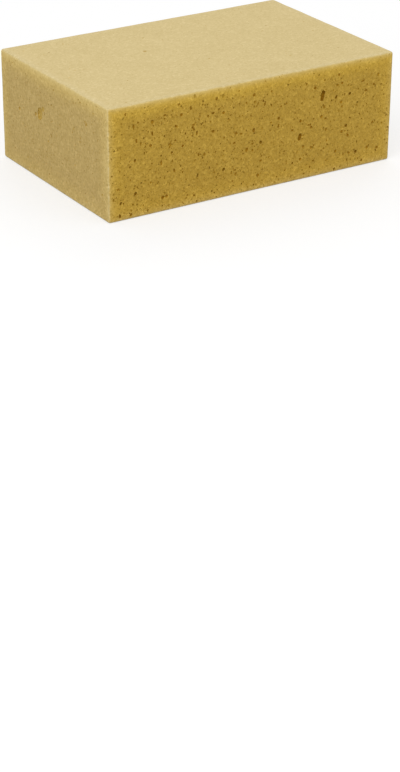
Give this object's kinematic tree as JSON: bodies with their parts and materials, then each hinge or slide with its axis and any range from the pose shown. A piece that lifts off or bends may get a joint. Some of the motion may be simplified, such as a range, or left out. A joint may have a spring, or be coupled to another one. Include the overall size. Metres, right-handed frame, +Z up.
{
  "type": "cleaning sponge",
  "caption": "Rectangular block of open-cell foam with softened edges and pitted faces, soaked and squeezed by hand for washing down and wiping surfaces.",
  "frame": {"origin": "centre of the underside, on the surface that the sponge lies on", "axes": "+Z up through the thickness, +X along the length, -Y out of the long side that faces the camera"},
  "size_m": [0.17, 0.11, 0.059],
  "materials": {
    "foam": "matt open-cell foam, pale on the large faces and golden on the long sides"
  },
  "bodies": {
    "root": {"sponge": "foam"}
  },
  "joints": []
}
